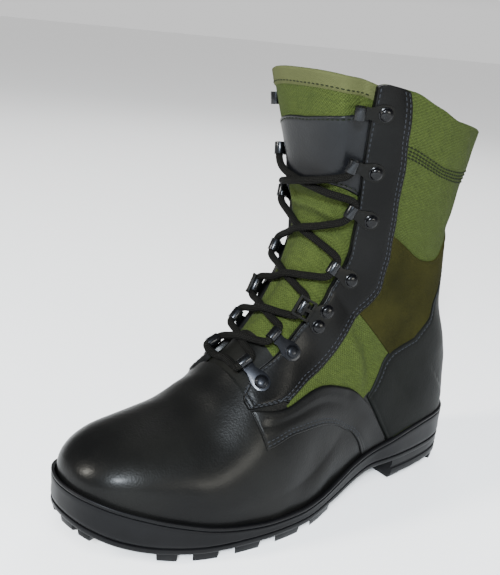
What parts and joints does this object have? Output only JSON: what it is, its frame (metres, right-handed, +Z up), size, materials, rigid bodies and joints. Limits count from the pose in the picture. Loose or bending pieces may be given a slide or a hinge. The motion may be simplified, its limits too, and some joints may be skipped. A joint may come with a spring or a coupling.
{
  "type": "jungle boot",
  "caption": "Left lace-up jungle boot with a black leather foot, green canvas shaft, webbing at the ankle, lace loops and a lugged rubber sole.",
  "frame": {"origin": "Centre of the heel's flat tread, on the floor that the boot stands on.", "axes": "+X to the toe, +Y to the outer side, +Z up"},
  "size_m": [0.298, 0.1096, 0.2693],
  "materials": {
    "rubber": "matte moulded",
    "lining": "matte",
    "canvas": "coarse weave",
    "webbing": "woven tape",
    "leather": "semi-gloss",
    "metal": "gloss black",
    "lacing": "braided"
  },
  "bodies": {
    "root": {"outsole": "rubber", "midsole": "rubber", "insole": "lining", "upper": "canvas", "tongue": "canvas", "tongue_patch": "leather", "heel_counter": "leather", "ankle_webbing": "webbing", "eyestay_outer": "leather", "quarter_outer": "leather", "loop_outer_1": "metal", "rivet_outer_1": "metal", "loop_outer_2": "metal", "rivet_outer_2": "metal", "lock_outer_3": "metal", "rivet_outer_3_1": "metal", "rivet_outer_3_2": "metal", "loop_outer_4": "metal", "rivet_outer_4": "metal", "loop_outer_5": "metal", "rivet_outer_5": "metal", "loop_outer_6": "metal", "rivet_outer_6": "metal", "loop_outer_7": "metal", "rivet_outer_7": "metal", "eyestay_inner": "leather", "quarter_inner": "leather", "loop_inner_1": "metal", "rivet_inner_1": "metal", "loop_inner_2": "metal", "rivet_inner_2": "metal", "lock_inner_3": "metal", "rivet_inner_3_1": "metal", "rivet_inner_3_2": "metal", "loop_inner_4": "metal", "rivet_inner_4": "metal", "loop_inner_5": "metal", "rivet_inner_5": "metal", "loop_inner_6": "metal", "rivet_inner_6": "metal", "loop_inner_7": "metal", "rivet_inner_7": "metal", "lace_bar": "lacing", "lace_cross_1": "lacing", "lace_cross_2": "lacing", "lace_cross_3": "lacing", "lace_cross_4": "lacing", "lace_cross_5": "lacing"}
  },
  "joints": []
}
